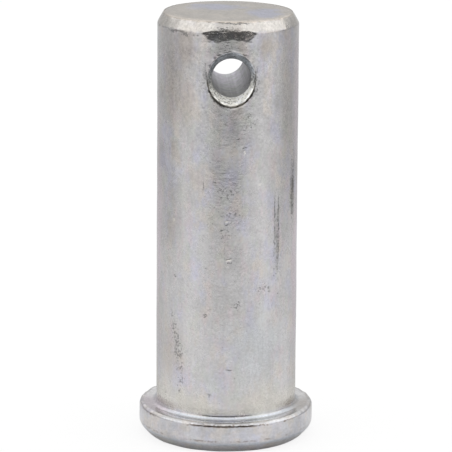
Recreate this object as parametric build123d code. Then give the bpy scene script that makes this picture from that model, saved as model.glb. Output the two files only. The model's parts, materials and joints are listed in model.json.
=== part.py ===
# A clevis pin: one piece of steel with a flat round head at one end and a short chamfered point at the other,
# drilled across near the point for a cotter pin, and zinc plated all over.
#
# The pin stands on the flat outer face of its head. The origin is the centre of that face, +Z runs along the
# pin's axis from the head to the point, and the cross hole runs along Y.
#
# All sizes are in millimetres.
from build123d import *
import os
from math import radians, tan

# The shank, from the head's underside to the tip.
shank_diameter = 12.55
shank_length = 35.72
neck_radius = 0.42  # the fillet between the shank and the head's underside

# The head, a flat disc. Its rim is sharp towards the shank and eased towards the outer face, as a die leaves it.
head_overhang = 1.55  # how far the head stands out beyond the shank, all round
head_thickness = 2.83
head_rim_radius = 0.35  # the rounding on the rim's edge towards the shank
head_ease_width = 0.87  # how far the easing reaches in across the outer face
head_ease_height = 0.96  # how far the easing reaches up the rim
head_ease_radius = 0.78  # the rounding between the easing and the rim
head_face_radius = 0.6  # the rounding between the easing and the outer face

# The point, a short cone with a flat end.
point_length = 1.01
point_taper = 0.565  # how much smaller the flat end is than the shank, on the radius
point_shoulder_radius = 0.5  # the rounding where the cone runs out into the shank
point_flat_radius = 0.2  # the rounding between the cone and the flat end

# The cross hole for a cotter pin, countersunk at both mouths.
cross_hole_diameter = 3.4
cross_hole_to_tip = 5.0
countersink_width = 0.7  # how far the countersink stands out beyond the hole, measured along the pin
countersink_angle = 82.0  # the included angle of the countersinking tool, in degrees
mouth_radius = 0.12  # the rounding where the countersink runs out into the shank

shank_radius = shank_diameter / 2
head_radius = shank_radius + head_overhang
tip_height = head_thickness + shank_length
cross_hole_radius = cross_hole_diameter / 2
cross_hole_height = tip_height - cross_hole_to_tip
countersink_slope = tan(radians(countersink_angle / 2))


def half_section():
    """The pin's half section in the XZ plane: its corners, taken in order from the head's face to the tip."""
    face_centre = (0, 0)
    face_edge = (head_radius - head_ease_width, 0)
    ease_top = (head_radius, head_ease_height)
    rim_top = (head_radius, head_thickness)
    neck = (shank_radius, head_thickness)
    point_shoulder = (shank_radius, tip_height - point_length)
    flat_edge = (shank_radius - point_taper, tip_height)
    tip_centre = (0, tip_height)
    roundings = {
        face_edge: head_face_radius,
        ease_top: head_ease_radius,
        rim_top: head_rim_radius,
        neck: neck_radius,
        point_shoulder: point_shoulder_radius,
        flat_edge: point_flat_radius,
    }
    with BuildSketch(Plane.XZ) as section:
        with BuildLine():
            Polyline(face_centre, *roundings, tip_centre, close=True)
        make_face()
        for corner, radius in roundings.items():
            fillet(section.vertices().sort_by_distance(corner)[0], radius)
    return section.sketch


def cross_hole_tool():
    """The drill and both countersinking cones as one solid of revolution, lying along Y through the pin."""
    countersink_depth = countersink_width / countersink_slope
    cylinder_end = shank_radius - countersink_depth
    # Each cone is carried on past the shank, so that it cuts the whole of its curved mouth.
    cone_overrun = shank_radius / 2
    cone_end = shank_radius + cone_overrun
    cone_end_radius = cross_hole_radius + countersink_width + cone_overrun * countersink_slope
    with BuildSketch(Plane.XY) as half_tool:
        with BuildLine():
            Polyline(
                (0, -cone_end),
                (cone_end_radius, -cone_end),
                (cross_hole_radius, -cylinder_end),
                (cross_hole_radius, cylinder_end),
                (cone_end_radius, cone_end),
                (0, cone_end),
                close=True,
            )
        make_face()
    return Pos(0, 0, cross_hole_height) * revolve(half_tool.sketch, axis=Axis.Y)


def clevis_pin():
    """The headed and pointed pin, drilled across, with the two mouths of the hole softened."""
    turned = revolve(half_section(), axis=Axis.Z)
    drilled = turned - cross_hole_tool()
    # The two mouths, where a cone meets the round shank, are the pin's only edges that are neither circles
    # nor straight lines.
    plain_edges = (GeomType.CIRCLE, GeomType.LINE)
    mouths = [edge for edge in drilled.edges() if edge.geom_type not in plain_edges]
    return fillet(mouths, mouth_radius)


os.makedirs("parts", exist_ok=True)
pin = clevis_pin()
export_step(pin, "parts/clevis_pin.step")
print("clevis pin", round(tip_height, 2), "mm tall, volume", round(pin.volume, 1), "mm3")
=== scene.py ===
import json
import math
import bpy
import numpy as np
from mathutils import Matrix, Vector


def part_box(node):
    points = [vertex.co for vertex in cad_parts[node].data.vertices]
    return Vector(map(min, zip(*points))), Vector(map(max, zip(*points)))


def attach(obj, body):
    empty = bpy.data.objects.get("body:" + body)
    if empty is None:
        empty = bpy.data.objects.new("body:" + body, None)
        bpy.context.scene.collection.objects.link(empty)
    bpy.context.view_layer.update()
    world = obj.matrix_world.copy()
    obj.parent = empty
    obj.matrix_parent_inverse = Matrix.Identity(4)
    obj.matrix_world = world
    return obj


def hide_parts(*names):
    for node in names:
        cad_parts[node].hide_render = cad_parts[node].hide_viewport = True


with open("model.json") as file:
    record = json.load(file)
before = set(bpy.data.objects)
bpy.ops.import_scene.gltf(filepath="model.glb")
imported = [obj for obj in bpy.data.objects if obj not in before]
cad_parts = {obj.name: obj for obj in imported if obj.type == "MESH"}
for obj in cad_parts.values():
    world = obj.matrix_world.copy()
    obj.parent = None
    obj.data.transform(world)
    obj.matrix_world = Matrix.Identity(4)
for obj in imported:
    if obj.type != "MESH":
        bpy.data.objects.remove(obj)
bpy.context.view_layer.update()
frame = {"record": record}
print("frame loaded: one pin, standing on its head")

mm = 0.001  # shapes are worked out in millimetres and handed to the meshes in metres
mounts = {mount["name"]: mount for mount in frame["record"]["mounts"]}
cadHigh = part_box("clevis_pin")[1]


# the camera, where the photograph's was

shot = {
    "azimuth": -3.0,  # degrees round the pin: the hole faces a little to the camera's right
    "elevation": 13.41,  # degrees above the horizon
    "roll": 0.4,  # degrees
    "distance": 276.2,  # mm from the aim point
    "aim": (-0.08, 0.0, 19.017),
    "lens": 245.2,  # mm
    "sensor": 36.0,  # mm wide
    "clip": (0.01, 20.0),  # m
}


def makeCamera():
    azimuth, elevation = math.radians(shot["azimuth"]), math.radians(shot["elevation"])
    back = Vector((
        math.sin(azimuth) * math.cos(elevation),
        -math.cos(azimuth) * math.cos(elevation),
        math.sin(elevation),
    ))
    lens = bpy.data.cameras.new("camera")
    lens.lens = shot["lens"]
    lens.sensor_width = shot["sensor"]
    lens.clip_start, lens.clip_end = shot["clip"]
    camera = bpy.data.objects.new("camera", lens)
    bpy.context.scene.collection.objects.link(camera)
    roll = Matrix.Rotation(math.radians(shot["roll"]), 3, "Z")
    turned = (-back).to_track_quat("-Z", "Y").to_matrix() @ roll
    place = (Vector(shot["aim"]) + back * shot["distance"]) * mm
    camera.matrix_world = Matrix.Translation(place) @ turned.to_4x4()
    bpy.context.scene.camera = camera


makeCamera()
bpy.context.scene.view_settings.view_transform = "Standard"
print("camera placed")


# shader maths, written as Python expressions

class Value:
    # one output socket, on which Python's operators add Math nodes
    def __init__(self, graph, socket):
        self.graph, self.socket = graph, socket

    def __add__(self, other):
        return self.graph.maths("ADD", self, other)

    def __radd__(self, other):
        return self.graph.maths("ADD", other, self)

    def __sub__(self, other):
        return self.graph.maths("SUBTRACT", self, other)

    def __rsub__(self, other):
        return self.graph.maths("SUBTRACT", other, self)

    def __mul__(self, other):
        return self.graph.maths("MULTIPLY", self, other)

    def __rmul__(self, other):
        return self.graph.maths("MULTIPLY", other, self)

    def __truediv__(self, other):
        return self.graph.maths("DIVIDE", self, other)

    def __pow__(self, other):
        return self.graph.maths("POWER", self, other)


class Graph:
    # a node tree: node() makes any node, and the others are short forms of it
    def __init__(self, tree):
        self.tree = tree
        tree.nodes.clear()

    def node(self, kind, settings, sockets, output=0):
        made = self.tree.nodes.new(kind)
        for name, setting in settings.items():
            setattr(made, name, setting)
        for name, given in sockets.items():
            if isinstance(given, Value):
                self.tree.links.new(given.socket, made.inputs[name])
            else:
                made.inputs[name].default_value = given
        return Value(self, made.outputs[output]) if made.outputs else made

    def maths(self, operation, first, second=0.0):
        return self.node("ShaderNodeMath", {"operation": operation}, {0: first, 1: second})

    def rise(self, value, low, high):
        # 0 below low and 1 above high, eased between them
        settings = {"interpolation_type": "SMOOTHSTEP", "clamp": True}
        return self.node("ShaderNodeMapRange", settings, {"Value": value, "From Min": low, "From Max": high})

    def noise(self, place, shift, stretch, scale, detail, rough):
        mapping = {"Vector": place, "Location": shift, "Scale": stretch}
        moved = self.node("ShaderNodeMapping", {"vector_type": "POINT"}, mapping)
        sockets = {"Vector": moved, "Scale": scale, "Detail": detail, "Roughness": rough}
        return self.node("ShaderNodeTexNoise", {}, sockets)

    def blend(self, mask, first, second):
        settings = {"data_type": "RGBA", "blend_type": "MIX", "clamp_factor": True}
        return self.node("ShaderNodeMix", settings, {0: mask, 6: first, 7: second}, 2)

    def attribute(self, name):
        return self.node("ShaderNodeAttribute", {"attribute_name": name}, {}, "Fac")


def grey(level):
    return (level, level, level, 1.0)


# the studio: a pale floor with painted shade and a painted pool of light, and pale surroundings with a dark
# camera side between two bright sides

studio = {
    "floorSize": 1400.0,  # mm
    # painted pool of light: the paper's colour is lighter beside the pin than far off
    "floorColour": (0.96, 0.88, 15.0, 110.0),  # beside the pin and far off, from and to mm away
    "floorGlow": 0.85,  # share of plain white that the camera sees in the floor
    # Painted shade on the floor, which the metal mirrors: how much darker the floor is in front, far in
    # front, beside and behind, and close behind, and from and to which mm away and degrees aside.
    "floorFront": (0.34, 50.0, 115.0, 17.0, 31.0),
    "floorFar": (0.85, 305.0, 390.0, 38.0, 46.0),
    "floorBack": (0.36, 35.0, 115.0, 65.0, 105.0),
    "floorBehind": (0.36, 150.0, 20.0, 95.0, 150.0),
    "backLevel": 0.61,  # brightness of the surroundings behind the pin
    "flankLevel": 0.58,  # between the back and the bright sides
    "frontLevel": 0.95,
    "topLevel": 1.15,
    "sideLevel": 1.40,
    "frontToFlank": (60.0, 110.0),  # degrees aside
    "flankToBack": (125.0, 165.0),
    "upToTop": (8.0, 36.0),  # degrees above the horizon
    "leftSide": (-100.0, -28.5),  # degrees round the pin, from the camera
    "rightSide": (26.5, 116.0),
    "sideEdge": 6.0,  # how softly the bright sides begin, in degrees
    "sideHeights": (14.0, 62.0),  # degrees above the horizon
    "sideTopEdge": 8.0,
    "cameraSideLevel": 0.12,
    "cameraSide": (43.0, 22.0),  # half width and half height of the dark camera side, in degrees
    "cameraSideHeight": 11.5,  # its middle, in degrees above the horizon
    "cameraSideEdge": (0.88, 1.12),  # where it fades, as a share of those halves
}


def fromCamera(g, x, y):
    # x and y turned so that the first points at the camera and the second to the camera's right
    turn = math.radians(shot["azimuth"])
    return x * math.sin(turn) - y * math.cos(turn), x * math.cos(turn) + y * math.sin(turn)


def between(g, value, low, high, soft):
    return g.rise(value, low - soft, low + soft) * (1.0 - g.rise(value, high - soft, high + soft))


def makeWorld():
    world = bpy.data.worlds.new("studio")
    bpy.context.scene.world = world
    world.use_nodes = True
    g = Graph(world.node_tree)
    way = g.node("ShaderNodeTexCoord", {}, {}, "Generated")
    x, y, z = (g.node("ShaderNodeSeparateXYZ", {}, {"Vector": way}, axis) for axis in "XYZ")
    ahead, side = fromCamera(g, x, y)
    azimuth = g.maths("ARCTAN2", side, ahead) * math.degrees(1)
    elevation = g.maths("ARCSINE", z) * math.degrees(1)
    aside = g.maths("ABSOLUTE", azimuth)
    front, flank, back = studio["frontLevel"], studio["flankLevel"], studio["backLevel"]
    level = front + g.rise(aside, *studio["frontToFlank"]) * (flank - front)
    level = level + g.rise(aside, *studio["flankToBack"]) * (back - flank)
    level = level + g.rise(elevation, *studio["upToTop"]) * (studio["topLevel"] - level)
    edge, topEdge = studio["sideEdge"], studio["sideTopEdge"]
    bright = between(g, azimuth, *studio["leftSide"], edge) + between(g, azimuth, *studio["rightSide"], edge)
    bright = bright * between(g, elevation, *studio["sideHeights"], topEdge)
    level = level + bright * (studio["sideLevel"] - level)
    halfWidth, halfHeight = studio["cameraSide"]
    across = aside / halfWidth
    upwards = g.maths("ABSOLUTE", (elevation - studio["cameraSideHeight"]) / halfHeight)
    reach = (across ** 4.0 + upwards ** 4.0) ** 0.25  # a rounded oblong
    cameraSide = 1.0 - g.rise(reach, *studio["cameraSideEdge"])
    level = level - cameraSide * (level - studio["cameraSideLevel"])
    seen = g.node("ShaderNodeLightPath", {}, {}, "Is Camera Ray")
    light = g.node("ShaderNodeBackground", {}, {"Color": grey(1.0), "Strength": level})
    plain = g.node("ShaderNodeBackground", {}, {"Color": grey(1.0), "Strength": 1.0})
    both = g.node("ShaderNodeMixShader", {}, {0: seen, 1: light, 2: plain})
    g.node("ShaderNodeOutputWorld", {}, {"Surface": both})


def makeFloor():
    half = studio["floorSize"] / 2 * mm
    mesh = bpy.data.meshes.new("floor")
    corners = [(-half, -half, 0), (half, -half, 0), (half, half, 0), (-half, half, 0)]
    mesh.from_pydata(corners, [], [(0, 1, 2, 3)])
    floor = bpy.data.objects.new("floor", mesh)
    bpy.context.scene.collection.objects.link(floor)
    material = bpy.data.materials.new("paleFloor")
    material.use_nodes = True
    g = Graph(material.node_tree)
    place = g.node("ShaderNodeTexCoord", {}, {}, "Object")
    x, y = (g.node("ShaderNodeSeparateXYZ", {}, {"Vector": place}, axis) for axis in "XY")
    front, side = fromCamera(g, x, y)
    aside = g.maths("ABSOLUTE", g.maths("ARCTAN2", side, front)) * math.degrees(1)
    away = (x * x + y * y) ** 0.5 / mm
    # painted shade on the floor, by sector and distance, which the metal mirrors
    shades = []
    for part in ("floorFront", "floorFar", "floorBack", "floorBehind"):
        darker, near, far, narrow, wide = studio[part]
        inFront = g.rise(aside, wide, narrow)
        sector = inFront if part in ("floorFront", "floorFar") else 1.0 - inFront
        shades.append(g.rise(away, near, far) * sector * darker)
    shade = g.maths("MAXIMUM", shades[0], shades[1]) + g.maths("MAXIMUM", shades[2], shades[3])
    # painted pool of light: the paper is lighter near the pin and falls off with distance
    nearColour, farColour, near, far = studio["floorColour"]
    paperColour = g.blend(g.rise(away, near, far), grey(nearColour), grey(farColour))
    seen = g.node("ShaderNodeLightPath", {}, {}, "Is Camera Ray")
    colour = g.blend(shade, paperColour, grey(0.0))
    paper = g.node("ShaderNodeBsdfDiffuse", {}, {"Color": g.blend(seen, colour, grey(1.0))})
    glow = g.node("ShaderNodeEmission", {}, {"Color": grey(1.0), "Strength": 1.0})
    surface = g.node("ShaderNodeMixShader", {}, {0: seen * studio["floorGlow"], 1: paper, 2: glow})
    under = g.node("ShaderNodeNewGeometry", {}, {}, "Backfacing")  # the floor is clear from below
    clear = g.node("ShaderNodeBsdfTransparent", {}, {})
    sided = g.node("ShaderNodeMixShader", {}, {0: under, 1: surface, 2: clear})
    g.node("ShaderNodeOutputMaterial", {}, {"Surface": sided})
    mesh.materials.append(material)


makeWorld()
makeFloor()
print("studio made")


# the pin's shape, in mm

pin = {
    "shankRadius": mounts["shank"]["dims"]["r_mm"],
    "headRadius": cadHigh.x / mm,
    "height": cadHigh.z / mm,
    "shoulder": mounts["head_underside"]["pos_m"][2] / mm,
    "headEase": (0.87, 0.96),  # across the outer face, and up the rim
    "easeRadius": 0.78,
    "faceRadius": 0.6,
    "rimRadius": 0.35,
    "neckRadius": 0.42,
    "pointLength": 1.01,
    "pointTaper": 0.565,
    "pointShoulderRadius": 0.5,
    "pointFlatRadius": 0.2,
    "rimLift": 0.05,  # how much higher than the solid's the head's rim stands
    "neckDrop": 0.085,  # how much lower than the solid's the neck starts
    "pointRows": 1.78,  # how far below the tip the rows of points get close together
    # spacing of the rows on each straight of the outline, from the middle of the head's face to the tip
    "rowSteps": (0.5, 0.12, 0.16, 0.12, 0.2, 0.07, 0.06, 0.2),
    "arcRows": (5, 9.0, 0.12),  # fewest rows on a rounding, and the most degrees and mm between two
    "columns": 280,  # points round the pin
}
hole = {
    "height": mounts["cotter_hole"]["pos_m"][2] / mm,
    "radius": mounts["cotter_hole"]["dims"]["r_mm"],
    "boreHalf": mounts["cotter_hole"]["dims"]["length_mm"] / 2,
    "coneAngle": 82.0,
    "mouthBlend": (0.03, 0.22),  # how near cone and shank come before they are rounded, at top and foot
    "innerRadius": 0.06,  # the rounding between cone and bore
    "windowColumns": 22,  # half width of the patch round each mouth, in columns of the pin
    "windowHalf": 3.2,  # half height of that patch
    "outsideRows": (22, 0.75),  # rows outside the mouth, and how they crowd towards it
    "coneRows": (11, 1.6),
    "lipStep": 0.05,  # spacing of the rows on the cone's inner edge, and of those in the bore
    "boreStep": 0.45,
    "skin": (0.12, 0.2),  # how far off cone and bore a point still counts as in the hole
    "cutFades": (-0.1, 0.02),  # mm outside the mouth
    "boreFades": 0.07,  # mm outside the bore
}
coneSlope = 1 / math.tan(math.radians(hole["coneAngle"] / 2))  # mm along the hole for each mm outwards


def roundedOutline(corners, steps):
    # Each corner is (radius, height, rounding). The outline runs straight between corners, with a row at
    # least every step, and turns each corner on an arc of its rounding, tangent to both sides.
    points = np.array([corner[:2] for corner in corners], float)
    roundings = [corner[2] for corner in corners]
    pieces = []
    for i in range(len(points)):
        if roundings[i] == 0:
            arc = points[i][None]
        else:
            back = points[i - 1] - points[i]
            ahead = points[i + 1] - points[i]
            back, ahead = back / np.linalg.norm(back), ahead / np.linalg.norm(ahead)
            turn = math.pi - math.acos(np.clip(back @ ahead, -1, 1))
            reach = roundings[i] * math.tan(turn / 2)
            halfway = (back + ahead) / np.linalg.norm(back + ahead)
            middle = points[i] + halfway * roundings[i] / math.cos(turn / 2)
            start, end = points[i] + back * reach - middle, points[i] + ahead * reach - middle
            fewest, mostDegrees, longest = pin["arcRows"]
            byAngle, byLength = round(turn / math.radians(mostDegrees)), int(turn * roundings[i] / longest)
            share = np.linspace(0, 1, max(fewest, byAngle, byLength) + 1)[:, None]
            arc = middle + (np.sin((1 - share) * turn) * start + np.sin(share * turn) * end) / math.sin(turn)
        if pieces:
            first, last = pieces[-1][-1], arc[0]
            count = max(1, int(math.ceil(np.linalg.norm(last - first) / steps[i - 1])))
            share = np.linspace(0, 1, count + 1)[1:-1, None]
            pieces.append(first + share * (last - first))
        pieces.append(arc)
    return np.concatenate(pieces)


def pinOutline():
    # half of the pin's outline, as (radius, height), from the head's face to the flat end
    r, head, top = pin["shankRadius"], pin["headRadius"], pin["height"]
    easeIn, easeUp = pin["headEase"]
    corners = [
        (0.0, 0.0, 0),
        (head - easeIn, 0.0, pin["faceRadius"]),
        (head, easeUp, pin["easeRadius"]),
        (head, pin["shoulder"] + pin["rimLift"], pin["rimRadius"]),
        (r, pin["shoulder"] - pin["neckDrop"], pin["neckRadius"]),
        (r, top - pin["pointRows"], 0),
        (r, top - pin["pointLength"], pin["pointShoulderRadius"]),
        (r - pin["pointTaper"], top, pin["pointFlatRadius"]),
        (0.0, top, 0),
    ]
    return roundedOutline(corners, pin["rowSteps"])


def mouthDepth(across, upwards):
    # How far the surface round one mouth of the hole lies from the XZ plane: the lesser of the shank's circle
    # and the cone's straight slope, rounded where they meet.
    shank = np.sqrt(pin["shankRadius"] ** 2 - across ** 2)
    cone = hole["boreHalf"] + (np.hypot(across, upwards) - hole["radius"]) * coneSlope
    topBlend, footBlend = hole["mouthBlend"]
    blend = topBlend + (footBlend - topBlend) * (0.5 - 0.5 * upwards / np.hypot(across, upwards))
    share = np.clip(0.5 + 0.5 * (cone - shank) / blend, 0, 1)
    return cone * (1 - share) + shank * share - blend * share * (1 - share)


def mouthRadius(cosine):
    # Where the cone meets the shank, as a distance from the hole's axis, in the direction with this cosine:
    # the positive root of (start + coneSlope * d)^2 = R^2 - (cosine * d)^2.
    start = hole["boreHalf"] - hole["radius"] * coneSlope
    a, b, c = coneSlope ** 2 + cosine ** 2, 2 * start * coneSlope, start ** 2 - pin["shankRadius"] ** 2
    return (-b + np.sqrt(b * b - 4 * a * c)) / (2 * a)


def holeSheet(edge):
    # A sheet from the front window, through the hole, to the back window. Its columns start at the window's
    # points, given in edge, and its rows run inwards: straight in to the mouth, down the cone, round its
    # inner edge and along the bore to the middle. The back half is the front half mirrored in the XZ plane.
    across, upwards = edge[:, 0], edge[:, 2] - hole["height"]
    reach = np.hypot(across, upwards)
    cosine, sine = across / reach, upwards / reach
    mouth = mouthRadius(cosine)
    inner = hole["radius"] + hole["innerRadius"]
    (outsideCount, outsideCrowd), (coneCount, coneCrowd) = hole["outsideRows"], hole["coneRows"]
    outside = 1 - np.linspace(0, 1, outsideCount + 1)[1:] ** outsideCrowd
    inside = 1 - np.linspace(0, 1, coneCount + 1)[1:] ** coneCrowd
    distance = np.concatenate([
        mouth + (reach - mouth) * outside[:, None],
        inner + (mouth - inner) * inside[:, None],
    ])
    depth = mouthDepth(distance * cosine, distance * sine)
    lip = roundedOutline([
        (inner, hole["boreHalf"] + hole["innerRadius"] * coneSlope, 0),
        (hole["radius"], hole["boreHalf"], hole["innerRadius"]),
        (hole["radius"], 0.0, 0),
    ], (hole["lipStep"], hole["boreStep"]))[1:-1]
    distance = np.concatenate([distance, np.repeat(lip[:, :1], len(edge), 1)])
    depth = np.concatenate([depth, np.repeat(lip[:, 1:], len(edge), 1)])
    front = np.stack([distance * cosine, -depth, hole["height"] + distance * sine], -1)
    back = front[::-1] * (1, -1, 1)
    return np.concatenate([front, back])


# small relief on the pin, in mm along the surface's normal

relief = {
    "seed": 4,
    "waves": 60,
    "taper": (0.04, 4.0, -0.02, 34.0),  # added to the shank's radius at two heights
    "taperFades": (0.5, 1.2, 1.5, 0.5),  # mm above the head, and below the tip
    "dents": (0.009, 2.0, 8.0, 2.2),  # size, shortest and longest wave, and how much longer along the pin
    "grain": (0.0016, 0.5, 1.1, 1.4),
    "rimBurr": (0.028, 0.5, 2.5),  # size, shortest and longest wave round the rim
    "rimBurrAt": (0.2, 0.06, 0.14),  # how far in from the rim and below its edge, and half width
    "endGroove": (0.035, 0.05, 0.12),  # depth, half width, and distance down the cone from the flat end
    "endGrooveWaves": (0.75, 0.5, 0.8, 4.0),  # mean share of it, unevenness, shortest and longest wave
    "endRoll": (0.08, 0.9),  # how far the flat end's edge is rolled down, and over what width
    "mouthBurr": (0.03, 0.12, 0.4, 1.6),  # size, half width, shortest and longest wave, round the hole
    "flattenedWaves": (0.13, 0.7, 3.0),  # how uneven the pushed in places are, shortest and longest wave
    "flattenedFull": 0.03,  # depth from which they look worn all over
}
flattened = {
    # the point's shoulder, pushed in: degrees from the hole, half width in degrees, depth, reach down and up
    "front": (-1.5, 21.5, 0.078, 0.56, 0.22),
    "frontMiddle": (-1.5, 10.5, 0.078, 0.6, 0.50),
    "frontLeft": (-10.5, 10.5, 0.078, 0.64, 0.25),
    "left": (-42.0, 16.0, 0.03, 0.26, 0.22),
    "right": (33.0, 11.0, 0.02, 0.2, 0.2),
    "farSide": (170.0, 30.0, 0.04, 0.5, 0.3),
}
chatter = {
    # name: degrees from the hole, height, half width in degrees, half height, strength
    "underHole": (15.0, 29.2, 9.0, 1.8, 0.8),
    "belowHole": (2.0, 27.3, 15.0, 2.4, 0.55),
    "middle": (-2.0, 24.4, 15.0, 2.4, 0.9),
    "lower": (-3.0, 21.2, 15.0, 2.0, 0.6),
    "low": (0.0, 17.5, 12.0, 2.0, 0.3),
}
stipple = {
    # name: degrees from the hole, height, half width, half height, density of the dots
    "trailTop": (-52.5, 11.9, 0.3, 0.6, 0.42),
    "trailUpper": (-50.0, 10.8, 0.55, 1.1, 0.54),
    "trail": (-46.6, 9.6, 0.68, 1.1, 0.62),
    "trailMiddle": (-44.8, 8.5, 0.66, 1.1, 0.66),
    "trailLower": (-43.6, 7.4, 0.5, 0.9, 0.66),
    "trailFoot": (-42.2, 6.1, 0.38, 0.7, 0.56),
    "trailEnd": (-44.0, 5.2, 0.3, 0.7, 0.5),
    "overHole": (-3.0, 36.3, 1.4, 0.34, 0.52),
    "overHolePit": (-3.1, 36.6, 0.2, 0.15, 1.0),
    "overPatch": (-5.0, 37.95, 1.3, 0.22, 0.5),
    "besideHoleLeft": (-21.0, 33.9, 0.3, 1.3, 0.62),
    "besideHoleRight": (20.5, 33.2, 0.3, 1.5, 0.55),
    "underHoleRight": (15.0, 29.8, 0.8, 0.7, 0.5),
    "middle": (-3.0, 21.4, 1.7, 1.6, 0.37),
    "middleUpper": (-5.0, 23.6, 1.5, 0.8, 0.45),
    "middleLower": (-2.0, 19.9, 1.2, 0.7, 0.45),
    "speckMiddle": (11.8, 21.3, 0.16, 0.14, 1.0),
    "speckFar": (-49.4, 15.5, 0.2, 0.16, 1.2),
    "scuff": (29.0, 14.6, 0.9, 0.45, 0.55),
    "low": (5.0, 13.2, 0.4, 0.5, 0.6),
    "lowPit": (-20.3, 12.3, 0.2, 0.18, 1.2),
    "foot": (-16.0, 5.0, 0.4, 0.3, 0.6),
    "footEdge": (-60.0, 4.4, 0.5, 0.4, 0.4),
    "shoulderLeft": (-54.0, 37.4, 0.55, 0.2, 0.95),
    "shoulderLeft2": (-40.0, 37.3, 0.6, 0.2, 0.95),
    "shoulderLeft3": (-30.0, 37.3, 0.3, 0.15, 0.7),
    "shoulderRight": (55.0, 37.75, 0.3, 0.4, 0.75),
    "edgeStreak": (63.5, 23.3, 0.6, 3.6, 0.78),
    "streak": (41.2, 17.2, 0.5, 3.2, 0.42),
    "farSide": (150.0, 24.0, 1.6, 2.4, 0.5),
    "farSideLow": (-120.0, 12.0, 0.6, 2.0, 0.55),
    "side": (100.0, 18.0, 0.4, 2.6, 0.5),
}
grime = {
    # name: degrees from the hole, height, half width, half height, strength
    "edgeStreak": (64.2, 23.6, 0.48, 2.1, 0.56),
    "edgeStreakLow": (62.8, 22.3, 0.5, 1.7, 0.6),
    "besideHole": (-18.5, 34.0, 0.14, 0.9, 0.36),
}
mouthDirt = {
    "edge": (0.03, 0.03),  # mm outside the mouth, and how much more at the foot than at the sides
    "halo": (0.12, 0.28),  # the same for the thin dirt round it, and its half width
    "haloStrength": (0.40, 0.12),  # and how much more on the left
    "strength": (0.69, 0.35),  # and how much more at the foot
    "depth": (0.5, 0.3),  # how far below the shank's skin edge and halo are seen
}
rimDirt = {
    # name: degrees from the hole, half width in degrees, strength
    "front": (-4.0, 27.0, 1.0),
    "left": (-64.0, 12.0, 0.42),
    "right": (46.0, 10.0, 0.38),
    "farSide": (165.0, 28.0, 0.8),
    "farSideLeft": (-118.0, 14.0, 0.6),
}
lilacPatches = {
    # name: x, y and half sizes on the flat end
    "back": (-0.7, 2.0, 3.3, 2.2),
    "right": (3.1, -1.1, 1.9, 3.2),
}
tintRegions = {
    # name: tint, degrees from the hole, height, half width in degrees, half height, strength
    "upperLeft": ("tan", -50.0, 33.5, 24.0, 5.0, 0.62),
    "underPoint": ("tan", -39.0, 36.2, 12.0, 2.2, 1.0),
    "leftOfHole": ("tan", -39.0, 31.5, 12.0, 3.6, 0.7),
    "upperRight": ("tan", 56.0, 31.0, 18.0, 9.0, 0.5),
    "underPointRight": ("tan", 29.0, 36.4, 9.0, 1.6, 0.75),
    "ringLeft": ("rosy", -78.0, 2.85, 26.0, 0.34, 1.0),
    "ringRight": ("tan", 77.0, 2.85, 24.0, 0.34, 0.7),
    "leftMiddle": ("tan", -46.0, 19.6, 13.0, 5.0, 0.3),
    "rightMiddle": ("tan", 48.0, 13.0, 12.0, 5.0, 0.3),
    "lowRight": ("cool", 22.0, 9.2, 34.0, 4.2, 0.75),
    # painted shade: darkens the shank's left foot as a darker floor mirrored there would
    "leftFoot": ("tan", -56.0, 8.6, 24.0, 3.8, 0.56),
    # painted sheen: rosy at the shank's left and right edges, where it turns away from the camera
    "leftEdge": ("rosy", -80.0, 20.0, 14.0, 11.0, 0.8),
    "rightEdge": ("rosy", 72.0, 15.5, 9.0, 8.0, 1.0),
    "rightEdgeUpper": ("rosy", 74.0, 30.0, 12.0, 8.0, 0.8),
    "farSide": ("tan", 160.0, 26.0, 30.0, 8.0, 0.5),
    "farSideLow": ("rosy", 205.0, 12.0, 30.0, 6.0, 0.7),
}


def ripples(points, seed, shortest, longest, along):
    # A smooth random field about zero: the sum of cosines of plane waves whose directions and phases are
    # random and whose lengths lie between shortest and longest, drawn out along the pin by the factor along.
    random = np.random.default_rng(seed)
    way = random.normal(size=(relief["waves"], 3))
    way /= np.linalg.norm(way, axis=1)[:, None]
    length = np.exp(random.uniform(math.log(shortest), math.log(longest), relief["waves"]))
    way = way * (2 * math.pi / length)[:, None] * (1, 1, 1 / along)
    phase = random.uniform(0, 2 * math.pi, relief["waves"])
    return np.cos(points @ way.T + phase).sum(1) * math.sqrt(2 / relief["waves"])


def bell(distance):
    # e to the minus distance squared
    return np.exp(-distance ** 2)


def easedStep(value, low, high):
    # 0 below low and 1 above high, and 3 t^2 - 2 t^3 between them
    share = np.clip((value - low) / (high - low), 0, 1)
    return share * share * (3 - 2 * share)


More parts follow.
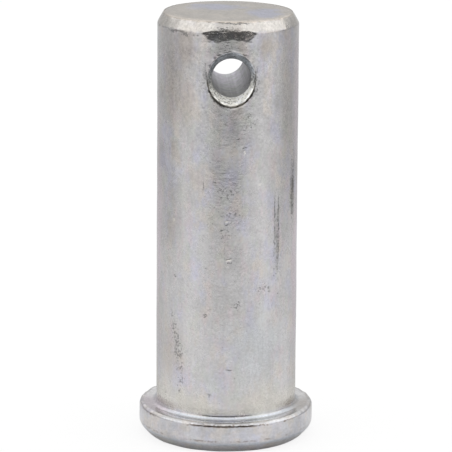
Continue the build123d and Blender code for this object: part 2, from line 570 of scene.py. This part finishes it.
def surfaceFields(points):
    # The pin's named fields, one number a point: what the relief and the zinc read.
    x, y, z = points.T
    radius = np.hypot(x, y)
    degrees = np.degrees(np.arctan2(x, -y))
    around = np.stack([x / radius.clip(1e-3), y / radius.clip(1e-3), z * 0], -1) * pin["headRadius"]
    fromHole = np.hypot(x, z - hole["height"])
    holeAngle = np.arctan2(x, z - hole["height"])
    mouth = mouthRadius(np.sin(holeAngle))
    coneDepth = hole["boreHalf"] + (fromHole - hole["radius"]) * coneSlope
    outer, inner = hole["skin"]
    inHole = (fromHole < mouth) & (np.abs(y) < coneDepth + outer) & (fromHole > hole["radius"] - inner)
    fields = {}
    low, high = hole["cutFades"]
    fields["cut"] = inHole * (1 - easedStep(fromHole, mouth + low, mouth + high))
    fields["bore"] = inHole * (1 - easedStep(fromHole, hole["radius"], hole["radius"] + hole["boreFades"]))
    # dirt lies on the mouth's edge, and thinly round it, and thickest at its foot
    shank = pin["shankRadius"]
    edgeDepth, haloDepth = mouthDirt["depth"]
    off, further = mouthDirt["edge"]
    nearMouth = bell((fromHole - mouth - off + further * np.cos(holeAngle)) / relief["mouthBurr"][1])
    nearMouth *= radius > shank - edgeDepth
    off, halfWidth = mouthDirt["halo"]
    halo = bell((fromHole - mouth - off) / halfWidth) * (radius > shank - haloDepth)
    everywhere, more = mouthDirt["haloStrength"]
    halo *= everywhere - more * np.sin(holeAngle)
    everywhere, more = mouthDirt["strength"]
    grimy = np.maximum(nearMouth, halo) * (everywhere - more * np.cos(holeAngle))
    zeros = np.zeros(len(points))
    strength = zeros
    for angle, height, halfWidth, halfHeight, strong in chatter.values():
        near = bell(np.hypot((degrees - angle) / halfWidth, (z - height) / halfHeight))
        strength = np.maximum(strength, strong * near)
    fields["chatter"] = strength

    def spread(field, places):
        # the most at each point of the field and of the places, whose half widths are in mm along the skin
        for angle, height, halfWidth, halfHeight, strong in places.values():
            aside = np.radians(degrees - angle) * shank / halfWidth
            field = np.maximum(field, strong * bell(np.hypot(aside, (z - height) / halfHeight)))
        return field

    fields["grimy"] = spread(grimy, grime)
    fields["dotted"] = spread(zeros, stipple)
    soiled = zeros
    for angle, halfWidth, strong in rimDirt.values():
        soiled = np.maximum(soiled, strong * bell(((degrees - angle + 180) % 360 - 180) / halfWidth))
    fields["soiled"] = soiled
    lilac = zeros
    for middleX, middleY, halfX, halfY in lilacPatches.values():
        lilac = np.maximum(lilac, bell(np.hypot((x - middleX) / halfX, (y - middleY) / halfY)))
    fields["lilac"] = lilac * (z > pin["height"] - 0.1)
    for tint in ("tan", "rosy", "cool"):
        fields[tint] = zeros
    for tint, angle, height, halfWidth, halfHeight, strong in tintRegions.values():
        turned = (degrees - angle + 180) % 360 - 180
        region = strong * bell(np.hypot(turned / halfWidth, (z - height) / halfHeight))
        fields[tint] = np.maximum(fields[tint], region)

    seed = relief["seed"]
    size, shortest, longest, along = relief["dents"]
    onBody = 1 - inHole
    raised = size * ripples(points, seed, shortest, longest, along) * onBody
    size, shortest, longest, along = relief["grain"]
    raised += size * ripples(points, seed + 1, shortest, longest, along)
    lowAdd, lowHeight, highAdd, highHeight = relief["taper"]
    share = np.clip((z - lowHeight) / (highHeight - lowHeight), 0, 1)
    foot, top = pin["shoulder"], pin["height"]
    start, full, fades, end = relief["taperFades"]
    onShank = easedStep(z, foot + start, foot + full) * (1 - easedStep(z, top - fades, top - end))
    raised += (lowAdd + (highAdd - lowAdd) * share) * onShank * onBody
    shoulderHeight = top - pin["pointLength"]
    uneven, shortest, longest = relief["flattenedWaves"]
    wavy = 1 + uneven * ripples(around, seed + 5, shortest, longest, 1.0)
    pushed = zeros
    for angle, halfWidth, depth, down, up in flattened.values():
        turned = np.abs((degrees - angle + 180) % 360 - 180)
        middle = 1 - np.minimum(turned / halfWidth, 1) ** 8  # full nearly to its ends
        away = np.where(z < shoulderHeight, (shoulderHeight - z) / down, (z - shoulderHeight) / up)
        pushed = np.maximum(pushed, depth * np.clip(middle - away / wavy, 0, 1))
    raised -= pushed * (radius > shank - 0.6)
    fields["pushed"] = easedStep(pushed, 0, relief["flattenedFull"])
    size, shortest, longest = relief["rimBurr"]
    inwards, below, halfWidth = relief["rimBurrAt"]
    rimHeight = foot + pin["rimLift"] - below
    rim = bell(np.hypot(radius - (pin["headRadius"] - inwards), z - rimHeight) / halfWidth)
    raised += size * ripples(around, seed + 2, shortest, longest, 1.0) * rim
    drop, width = relief["endRoll"]
    edge = shank - pin["pointTaper"]
    raised -= drop * np.clip((radius - edge + width) / width, 0, 1) ** 2 * (z > top - 0.05)
    size, halfWidth, distance = relief["endGroove"]
    chamfer = math.hypot(pin["pointTaper"], pin["pointLength"])
    grooveRadius = edge + distance * pin["pointTaper"] / chamfer
    grooveHeight = top - distance * pin["pointLength"] / chamfer
    mean, uneven, shortest, longest = relief["endGrooveWaves"]
    broken = np.clip(mean + uneven * ripples(around, seed + 3, shortest, longest, 1.0), 0, 1.4)
    raised -= size * broken * bell(np.hypot(radius - grooveRadius, z - grooveHeight) / halfWidth)
    size, halfWidth, shortest, longest = relief["mouthBurr"]
    raised += size * ripples(points, seed + 4, shortest, longest, 1.0) * nearMouth
    return fields, raised


def buildPin():
    # The outline turned round the pin's axis, x = radius sin(angle) and y = -radius cos(angle), with the
    # hole's sheet between two windows in it, and moved along its normals by the relief.
    outline = pinOutline()
    count = pin["columns"]
    angle = np.arange(count) * 2 * math.pi / count
    rings = outline[1:-1]
    body = np.stack([
        rings[:, :1] * np.sin(angle),
        -rings[:, :1] * np.cos(angle),
        np.repeat(rings[:, 1:], count, 1),
    ], -1)
    onShank = np.abs(rings[:, 0] - pin["shankRadius"]) < 1e-6
    near = np.flatnonzero(onShank & (np.abs(rings[:, 1] - hole["height"]) < hole["windowHalf"]))
    low, high, half = near[0], near[-1], hole["windowColumns"]
    row, column = np.meshgrid(np.arange(len(rings) - 1), np.arange(count), indexing="ij")
    ahead = (column + 1) % count
    below, above = row * count, (row + 1) * count
    quads = np.stack([below + column, below + ahead, above + ahead, above + column], -1)
    offset = (column + half) % (count // 2)
    cut = (row >= low) & (row < high) & (offset < 2 * half)
    quads = quads[~cut]
    # the window's edge, once round: along the bottom, up the right, back along the top and down the left
    wide, tall = np.arange(-half, half), np.arange(low, high)
    edgeRow = np.concatenate([wide * 0 + low, tall, wide * 0 + high, tall[::-1] + 1])
    edgeColumn = np.concatenate([wide, tall * 0 + half, -wide, tall * 0 - half])
    frontEdge = edgeRow * count + edgeColumn % count
    backEdge = edgeRow * count + (count // 2 - edgeColumn) % count
    flat = body.reshape(-1, 3)
    sheet = holeSheet(flat[frontEdge])
    index = len(flat) + np.arange(sheet.shape[0] * sheet.shape[1]).reshape(sheet.shape[:2])
    index = np.concatenate([frontEdge[None], index, backEdge[None]])
    turned = np.roll(index, -1, 1)
    sheetQuads = np.stack([index[:-1], turned[:-1], turned[1:], index[1:]], -1).reshape(-1, 4)
    faceMiddle = len(flat) + sheet.size // 3
    tipMiddle = faceMiddle + 1
    last = (len(rings) - 1) * count
    around = np.arange(count)
    fans = np.concatenate([
        np.stack([around * 0 + faceMiddle, (around + 1) % count, around], -1),
        np.stack([around * 0 + tipMiddle, last + around, last + (around + 1) % count], -1),
    ])
    poles = np.array([[0, 0, outline[0, 1]], [0, 0, outline[-1, 1]]])
    points = np.concatenate([flat, sheet.reshape(-1, 3), poles])
    mesh = bpy.data.meshes.new("clevisPin")
    mesh.from_pydata((points * mm).tolist(), [], np.concatenate([quads, sheetQuads]).tolist() + fans.tolist())
    mesh.shade_smooth()
    normals = np.empty(points.size, np.float32)
    mesh.vertices.foreach_get("normal", normals)
    fields, raised = surfaceFields(points)
    points = points + normals.reshape(-1, 3) * raised[:, None]
    points[:, 2] = np.clip(points[:, 2], 0.0, pin["height"])
    mesh.vertices.foreach_set("co", (points * mm).ravel())
    mesh.update()
    for name, values in fields.items():
        mesh.attributes.new(name, "FLOAT", "POINT").data.foreach_set("value", values.astype(np.float32))
    piece = bpy.data.objects.new("clevisPin", mesh)
    bpy.context.scene.collection.objects.link(piece)
    triangles = 2 * (len(quads) + len(sheetQuads)) + len(fans)
    print("pin shape:", triangles, "triangles")
    return piece


pinPiece = buildPin()


# the zinc plating

zinc = {
    "plain": (0.540, 0.532, 0.536, 1.0),
    "lilac": (0.515, 0.512, 0.590, 1.0),
    "warm": (0.575, 0.535, 0.500, 1.0),
    "pink": (0.580, 0.515, 0.535, 1.0),
    "greenGrey": (0.525, 0.540, 0.505, 1.0),
    # the plating's tan tint, made dark enough that its regions also paint shade
    "tan": (0.425, 0.387, 0.357, 1.0),
    # a rosy tint of the plating, which at the shank's edges paints its sheen
    "rosy": (0.570, 0.505, 0.545, 1.0),
    "cool": (0.512, 0.528, 0.545, 1.0),
    "foot": (0.600, 0.580, 0.530, 1.0),  # just above the head
    "ivory": (0.570, 0.542, 0.500, 1.0),  # the point's cone
    "end": (0.583, 0.520, 0.445, 1.0),  # the flat end
    "endLilac": (0.470, 0.480, 0.620, 1.0),
    "headSide": (0.488, 0.496, 0.540, 1.0),
    "headEase": (0.420, 0.470, 0.525, 1.0),
    "ring": (0.680, 0.675, 0.680, 1.0),  # the head's top
    "neck": (0.570, 0.598, 0.640, 1.0),
    "rimEdge": (0.620, 0.600, 0.545, 1.0),
    # wear on the pushed-in shoulder, light enough that it also paints the dark patch there lighter
    "worn": (0.660, 0.580, 0.520, 1.0),  # where the shoulder is pushed in
    "cutTop": (0.57, 0.60, 0.65, 1.0),  # the countersinks
    # painted light: the countersinks' lower half, much lighter where it faces the light above
    "cutFoot": (0.90, 0.885, 0.82, 1.0),
    "bore": (0.470, 0.452, 0.505, 1.0),
    "boreGrey": (0.430, 0.460, 0.440, 1.0),
    "boreFoot": (0.43, 0.435, 0.40, 1.0),
    "dirt": (0.10, 0.09, 0.07, 1.0),
    # stains and dark marks, and the painted shade of curlShade and crescentShade
    "smudge": (0.15, 0.15, 0.15, 1.0),
    "rust": (0.16, 0.115, 0.085, 1.0),
    # painted highlights: the colour of the pale marks, the glints and the lit tops of the curl and the
    # crescent
    "pale": (0.92, 0.89, 0.82, 1.0),
}
strengths = {
    # how far a tint covers what lies under it
    "headSide": 0.5,
    "smudge": 0.8,
    "pale": 0.75,
    "worn": 0.6,
}
finish = {
    "roughness": 0.27,
    "roughnessFrom": {"grain": 0.25, "polished": -0.12, "cut": 0.14, "stained": 0.2, "worn": 0.16},
    "leastRoughness": 0.1,
    "bumpHeight": 0.001,  # m for a bump value of 1
    "pebbleBumps": (0.015, -0.007, 0.012),  # everywhere, and added on the shoulder and where it is pushed in
    "bumps": {"waves": 0.024, "streaks": 0.004, "lines": 0.002, "stained": -0.012, "pale": 0.01},
}
shading = {
    # how much each pattern lightens and darkens
    "all": {"grain": 0.60, "streaks": 0.22, "fine": 0.34, "broad": 0.14},
    "upper": {"grain": 0.25, "pebbles": 0.45},
    "headSide": {"grain": 0.4},
    "bore": {"grain": 0.7},
    "markEdges": {"fine": 1.6, "streaks": 2.4, "grain": 1.4},
}
drilled = {
    "contrast": 4.0,  # of the turned lines
    "lineShade": 0.5,
    "turnedShade": (0.8, 0.5),  # how much the turned pattern lightens cones and bore
    # the foot's colour is painted light
    "cutTurn": (0.9, -0.9),  # mm above the hole's axis where the foot's colour starts and is full
    "boreFoot": (0.3, 0.6, 0.42, 0.58),  # how strong in front, what the grain adds, and where in the grain
    # painted light: the cone's foot made brighter on the right
    "rightFoot": (0.0, 1.8, 0.22),  # mm right of the axis, from and to, and how much brighter
}
patterns = {
    # name: shift, stretch, scale, detail and roughness of a noise
    "grain": ((0.3, 0.1, 0.2), (1.0, 1.0, 1.0), 420.0, 5.0, 0.78),
    "fine": ((0.5, 0.4, 0.1), (1.0, 1.0, 1.0), 5200.0, 1.0, 0.5),
    "streaks": ((0.7, 0.2, 0.6), (1.0, 1.0, 0.07), 1500.0, 3.0, 0.6),
    "broad": ((0.2, 0.9, 0.4), (1.0, 1.0, 0.5), 210.0, 2.0, 0.5),
    "pebbles": ((0.9, 0.8, 0.7), (1.0, 1.0, 1.0), 3300.0, 2.0, 0.6),
    "waves": ((0.1, 0.5, 0.9), (1.0, 1.0, 2.2), 1800.0, 2.0, 0.6),
    "turned": ((0.2, 0.3, 0.4), (1.0, 2.2, 1.0), 1300.0, 4.0, 0.75),
    "wobble": ((0.6, 0.6, 0.6), (1.0, 1.0, 1.0), 650.0, 3.0, 0.6),
    "patchy": ((0.8, 0.3, 0.5), (1.0, 1.0, 1.0), 330.0, 4.0, 0.75),
    "worn": ((0.4, 0.7, 0.3), (1.0, 1.0, 1.0), 2400.0, 4.0, 0.8),
    "dots": ((0.0, 0.0, 0.0), (1.0, 1.0, 1.0), 6000.0, 2.0, 0.6),
    "lines": ((0.0, 0.0, 0.0), (9.0, 1.6, 1.0), 1.0, 3.0, 0.7),  # outwards from the hole, and round it
}
scatter = {
    # tint: shift, stretch along the pin, scale, where in the noise it starts and is full, and strength
    "lilac": (1.3, 0.55, 520.0, 0.48, 0.66, 0.85),
    "warm": (2.1, 0.55, 640.0, 0.50, 0.66, 0.8),
    "pink": (3.7, 0.4, 1300.0, 0.50, 0.68, 0.6),
    "greenGrey": (4.9, 0.55, 900.0, 0.50, 0.68, 0.6),
    "boreGrey": (5.3, 1.0, 900.0, 0.46, 0.60, 0.7),
    "headWarm": (6.7, 1.0, 800.0, 0.47, 0.61, 0.6),
}
zones = {
    # name: strength, and what bounds it: mm outwards or mm of height, where it starts and where it is full
    "ring": (1.0, ("outwards", 6.5, 6.8), ("height", 3.1, 2.95), ("height", 2.5, 2.7)),
    "rimEdge": (0.8, ("outwards", 7.35, 7.5), ("height", 2.68, 2.78)),
    "neck": (0.85, ("outwards", 6.3, 6.36), ("outwards", 6.72, 6.6), ("height", 3.3, 3.2)),
    "foot": (1.0, ("height", 3.1, 3.4)),
    "rim": (1.0, ("outwards", 7.3, 7.5)),
    "headSide": (1.0, ("outwards", 7.3, 7.5), ("height", 0.6, 1.0)),
    "headEase": (0.8, ("height", 1.15, 0.8)),
    # painted shade: the head's lower easing darker near the floor
    "headFoot": (0.12, ("height", 1.1, 0.7)),
    "ivory": (0.7, ("height", 37.5, 37.75), ("height", 38.45, 38.3)),
    "end": (0.8, ("height", 38.3, 38.5)),
    "upper": (1.0, ("height", 22.0, 32.0)),
    "shoulder": (1.0, ("height", 36.7, 36.9), ("height", 38.0, 37.8)),
    "nearPoint": (1.0, ("height", 35.8, 36.7)),
    "offShank": (1.0, ("outwards", 6.32, 6.42)),
}
ragged = {
    # name: how much the patterns break it up, where it starts and is full, and strength
    "tan": ({"grain": 0.9}, 0.15, 0.85, 0.85),
    "cool": ({"grain": 1.3}, 0.2, 0.8, 0.8),
    "rosy": ({"streaks": 0.7}, 0.15, 0.85, 0.85),
    "foot": ({"broad": 6.0}, 6.7, 4.3, 0.75),
    "endLilac": ({"grain": 1.3, "broad": 1.3}, 0.36, 0.86, 0.95),
    "boreFoot": ({"broad": 3.0}, 1.4, -3.6, 1.0),
    "grimy": ({"grain": 1.3, "fine": 0.7}, 0.40, 0.66, 0.85),
    "soiled": ({"grain": 1.5, "fine": 0.9}, 0.32, 0.62, 1.0),
}
soiledLines = {
    # name: height, waviness, fraying, how far from its middle it ends and is full, and strength
    "low": (1.2, 0.6, 0.0, 0.13, 0.04, 0.55),
    "top": (2.6, 0.35, 0.25, 0.15, 0.04, 0.75),
    "shoulder": (37.5, 0.3, 0.0, 0.1, 0.03, 0.5),
}
breaks = {
    # name: where in its noise it starts and is full
    "low": (0.45, 0.56),
    "lowSpecks": (0.74, 0.86),
    "shoulder": (0.5, 0.6),
    "dots": (0.69, 0.80),
    "marks": (0.28, 0.78),
    "worn": (0.44, 0.68),
}
specks = {
    "strength": 0.8,
    "stipple": 0.38,  # how much more it dots its places
    # the cones' dots thin out to the right, which paints the cone lighter there
    "cone": (0.16, 0.022),  # how much more the cones are dotted, and how much less a mm to the right
    # painted light: spreads the worn colour further to the right, lightening that side
    "wornRight": 0.045,  # how much more worn for each mm to the right
    "markStray": 0.34,  # mm by which the marks' edges stray
}
marks = {
    # name: degrees from the hole, height, half width, half height, turn in degrees, darkness (below 0 paler)
    "dashRight": (11.3, 27.5, 0.24, 0.07, 4, 0.9),
    "glintRight": (10.9, 27.0, 0.1, 0.26, 0, -0.6),
    "dashMiddle": (5.6, 28.3, 0.2, 0.06, 0, 0.6),
    "dashLeft": (-12.9, 24.4, 0.24, 0.08, -10, 0.9),
    "dashLeft2": (-9.3, 23.7, 0.3, 0.08, 35, 0.8),
    "lineLeft": (-22.3, 24.1, 0.07, 0.55, 0, 0.55),
    "dashLow": (-6.5, 20.1, 0.3, 0.08, 10, 0.9),
    "dashLow2": (-0.9, 7.4, 0.34, 0.07, -6, 0.8),
    "glintFar": (24.2, 24.1, 0.16, 0.1, 15, -0.4),
    "glintEdge": (-51.6, 20.6, 0.16, 0.16, 0, -0.55),
    # painted highlight and shade: curl and crescent are the lit tops of small raised curls, curlShade and
    # crescentShade the shade below them
    "curl": (-3.1, 20.9, 0.26, 0.08, 25, -0.8),
    "curlShade": (-3.0, 20.62, 0.28, 0.06, 25, 0.7),
    "crescent": (-1.2, 17.4, 0.32, 0.08, 14, -0.9),
    "crescentShade": (-1.0, 17.18, 0.3, 0.06, 8, 0.8),
    "scuff": (25.0, 14.7, 0.2, 0.16, 20, 0.6),
    "scuff2": (33.9, 14.3, 0.22, 0.16, -20, 0.6),
    "lineLow": (-16.7, 12.9, 0.3, 0.05, 8, 0.5),
    "drawnLine": (-4.7, 17.0, 0.06, 3.6, 0, 0.45),
    "drawnLine2": (-4.9, 12.0, 0.05, 3.0, 0, 0.3),
    "streak": (39.0, 20.0, 0.12, 4.2, 0, 0.58),
    "streak2": (43.3, 19.9, 0.15, 3.7, 0, 0.6),
    "streakMiddle": (41.3, 18.8, 0.46, 3.7, 0, 0.46),
    "edgeStreak": (62.8, 23.3, 0.5, 3.3, 0, 0.5),
    "edgeStreak2": (65.8, 23.8, 0.2, 3.6, 0, 0.88),
    "endEdge": (1.5, 38.37, 1.7, 0.05, 0, 0.9),
}


def markMasks(g, skin):
    # The darkest and the palest mark at each place. Every mark falls off with the distance to its middle,
    # turned and divided by its half sizes.
    masks = {"dark": 0.0, "pale": 0.0}
    for angle, height, halfWidth, halfHeight, turn, darkness in marks.values():
        middle = (math.radians(angle) * pin["shankRadius"], height, 0.0)
        near = g.node("ShaderNodeMapping", {"vector_type": "TEXTURE"}, {
            "Vector": skin,
            "Location": middle,
            "Rotation": (0.0, 0.0, math.radians(turn)),
            "Scale": (halfWidth, halfHeight, 1.0),
        })
        away = g.node("ShaderNodeVectorMath", {"operation": "LENGTH"}, {0: near}, "Value")
        mark = g.node("ShaderNodeMapRange", {"interpolation_type": "SMOOTHSTEP", "clamp": True}, {
            "Value": away, "From Min": 1.3, "From Max": 0.5, "To Max": abs(darkness)})
        kind = "dark" if darkness > 0 else "pale"
        masks[kind] = g.maths("MAXIMUM", masks[kind], mark)
    return masks["dark"], masks["pale"]


def makeZinc():
    material = bpy.data.materials.new("zincPlate")
    material.use_nodes = True
    g = Graph(material.node_tree)
    place = g.node("ShaderNodeTexCoord", {}, {}, "Object")
    x, y, z = (g.node("ShaderNodeSeparateXYZ", {}, {"Vector": place}, axis) for axis in "XYZ")
    height = z / mm
    outwards = (x * x + y * y) ** 0.5 / mm
    cut, bore, grimy, rattle, dotted, lilacPatch, tan, rosy, cool, pushed, soiled = (
        g.attribute(name) for name in (
            "cut", "bore", "grimy", "chatter", "dotted", "lilac", "tan", "rosy", "cool", "pushed", "soiled"))

    def pattern(name):
        return g.noise(place, *patterns[name])

    def scattered(tint):
        shift, stretch, scale, low, high, strength = scatter[tint]
        patches = g.noise(place, (shift, shift, shift), (1.0, 1.0, stretch), scale, 3.0, 0.6)
        return g.rise(patches, low, high) * strength

    def zone(name):
        mask, *bounds = zones[name]
        for measure, low, high in bounds:
            mask = mask * g.rise({"outwards": outwards, "height": height}[measure], low, high)
        return mask

    noises = {name: pattern(name) for name in ("grain", "fine", "streaks", "broad", "pebbles")}
    grain, fine, streaks, broad, pebbles = noises.values()

    def mottled(weights):
        # how far the patterns together are from their middle
        total = 0.0
        for name, weight in weights.items():
            total = total + (noises[name] - 0.5) * weight
        return total

    def broken(field, name):
        weights, low, high, strength = ragged[name]
        return g.rise(field + mottled(weights), low, high) * strength

    # the plating's own tints, from one end of the pin to the other
    colour = zinc["plain"]
    for tint in ("lilac", "warm", "pink", "greenGrey"):
        colour = g.blend(scattered(tint), colour, zinc[tint])
    for tint in ("ring", "rimEdge", "neck"):
        colour = g.blend(zone(tint), colour, zinc[tint])
    for tint, field in {"tan": tan, "cool": cool, "rosy": rosy}.items():
        colour = g.blend(broken(field, tint), colour, zinc[tint])
    colour = g.blend(broken(height, "foot") * zone("foot"), colour, zinc["foot"])
    onHead = zone("headSide")
    colour = g.blend(onHead * strengths["headSide"], colour, zinc["headSide"])
    colour = g.blend(onHead * scattered("headWarm"), colour, zinc["warm"])
    colour = g.blend(onHead * zone("headEase"), colour, zinc["headEase"])
    for tint in ("ivory", "end"):
        colour = g.blend(zone(tint), colour, zinc[tint])
    colour = g.blend(broken(lilacPatch, "endLilac"), colour, zinc["endLilac"])

    # the drilled faces: cones with turned lines, blue above and painted bright at the foot, where they face
    # the light, and a darker bore
    turned = pattern("turned") - 0.5
    upHole = z - hole["height"] * mm
    fromHole = (x * x + upHole * upHole) ** 0.5 / mm
    roundHole = g.maths("ARCTAN2", x, upHole)
    turnedFace = g.node("ShaderNodeCombineXYZ", {}, {"X": fromHole, "Y": roundHole})
    lines = g.noise(turnedFace, *patterns["lines"]) * drilled["contrast"] - drilled["contrast"] / 2
    cone = cut - bore
    footwards = g.rise(height - hole["height"], *drilled["cutTurn"])
    colour = g.blend(cut, colour, g.blend(footwards, zinc["cutTop"], zinc["cutFoot"]))
    boreColour = g.blend(scattered("boreGrey"), zinc["bore"], zinc["boreGrey"])
    least, added, low, high = drilled["boreFoot"]
    frontwards = broken(y / mm, "boreFoot") * (least + g.rise(grain, low, high) * added)
    boreColour = g.blend(frontwards, boreColour, zinc["boreFoot"])
    colour = g.blend(bore, colour, boreColour)

    shade = 1.0 + mottled(shading["all"]) + lines * cut * drilled["lineShade"]
    shade = shade + mottled(shading["upper"]) * zone("upper")
    # painted light: the cones' foot brighter towards the right
    low, high, brighter = drilled["rightFoot"]
    shade = shade + cone * g.rise(x / mm, low, high) * footwards * brighter
    onCut, inBore = drilled["turnedShade"]
    shade = shade + turned * (cut * onCut + bore * inBore)
    shade = shade + mottled(shading["headSide"]) * onHead + mottled(shading["bore"]) * bore
    # painted shade on the head's lower easing, near the floor
    shade = shade - zone("headFoot")
    colour = g.node("ShaderNodeVectorMath", {"operation": "SCALE"}, {0: colour, "Scale": shade})

    # brown lines where the head's rim and easing are turned, and round the hole's lower edge
    wobble = (pattern("wobble") - 0.5) * 0.5
    onRim = zone("rim")
    patchy = pattern("patchy")

    def line(name):
        middle, waves, frays, end, full, strength = soiledLines[name]
        away = g.maths("ABSOLUTE", height - middle + wobble * waves + (fine - 0.5) * frays)
        return g.rise(away, end, full) * strength

    lowLine = line("low") * onRim * g.rise(patchy, *breaks["low"])
    lowLine = lowLine * g.rise(fine + grain * 0.6, *breaks["lowSpecks"])
    topLine = line("top") * onRim * broken(soiled, "soiled")
    colour = g.blend(g.maths("MAXIMUM", lowLine, topLine), colour, zinc["rust"])
    colour = g.blend(line("shoulder") * g.rise(patchy, *breaks["shoulder"]), colour, zinc["dirt"])
    colour = g.blend(broken(grimy, "grimy"), colour, zinc["dirt"])

    # named marks, placed on the shank's skin unrolled: mm round from the hole, and height
    around = g.maths("ARCTAN2", x, y * -1.0) * pin["shankRadius"]
    flatSkin = g.node("ShaderNodeCombineXYZ", {}, {"X": around, "Y": height})
    stray = specks["markStray"]
    strayed = g.node("ShaderNodeTexNoise", {}, {"Vector": place, "Scale": 3800.0, "Detail": 2.0}, "Color")
    half = (stray / 2, stray / 2, 0.0)
    centred = g.node("ShaderNodeVectorMath", {"operation": "SUBTRACT"}, {0: flatSkin, 1: half})
    skin = g.node("ShaderNodeVectorMath", {"operation": "MULTIPLY_ADD"}, {
        0: strayed,
        1: (stray, stray, 0.0),
        2: centred,
    })
    dark, pale = markMasks(g, skin)
    everywhere, right = specks["cone"]
    # fewer dots to the right on the cones paint them lighter there
    dotNoise = pattern("dots") + dotted * specks["stipple"] + cone * (everywhere - x / mm * right)
    dots = g.rise(dotNoise, *breaks["dots"]) * specks["strength"]
    uneven = 1.0 + mottled(shading["markEdges"])
    # stains and dark marks, with curlShade and crescentShade among them painted shade
    stained = g.maths("MAXIMUM", dots, g.rise(dark * uneven, *breaks["marks"]))
    colour = g.blend(stained * strengths["smudge"], colour, zinc["smudge"])
    # painted highlights: the pale marks, glints and the lit tops of the curl and the crescent
    colour = g.blend(pale * strengths["pale"], colour, zinc["pale"])
    # wear on the pushed-in shoulder, which also paints its dark patch lighter, more so to the right
    wearAndPaintedLight = pushed * g.rise(pattern("worn") + x / mm * specks["wornRight"], *breaks["worn"])
    colour = g.blend(wearAndPaintedLight * strengths["worn"], colour, zinc["worn"])

    # relief too fine for the mesh
    bumps = finish["bumps"]
    everywhere, onShoulder, whenPushed = finish["pebbleBumps"]
    bump = pebbles * (everywhere + zone("shoulder") * onShoulder + pushed * whenPushed)
    bump = bump + pattern("waves") * rattle * bumps["waves"] + streaks * bumps["streaks"]
    bump = bump + lines * cut * bumps["lines"] + stained * bumps["stained"] + pale * bumps["pale"]
    bumped = {"Strength": 1.0, "Distance": finish["bumpHeight"], "Height": bump}
    polished = g.maths("MAXIMUM", zone("nearPoint"), zone("offShank"))
    rougher = finish["roughnessFrom"]
    roughness = finish["roughness"] + (grain - 0.5) * rougher["grain"] + polished * rougher["polished"]
    roughness = roughness + cut * rougher["cut"] + stained * rougher["stained"] + wearAndPaintedLight * rougher["worn"]
    metal = g.node("ShaderNodeBsdfPrincipled", {}, {
        "Base Color": colour,
        "Metallic": 1.0,
        "Roughness": g.maths("MAXIMUM", roughness, finish["leastRoughness"]),
        "Normal": g.node("ShaderNodeBump", {}, bumped),
    })
    g.node("ShaderNodeOutputMaterial", {}, {"Surface": metal})
    return material


pinPiece.data.materials.append(makeZinc())
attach(pinPiece, "root")
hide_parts("clevis_pin")
print("zinc plating done")

bpy.context.view_layer.update()
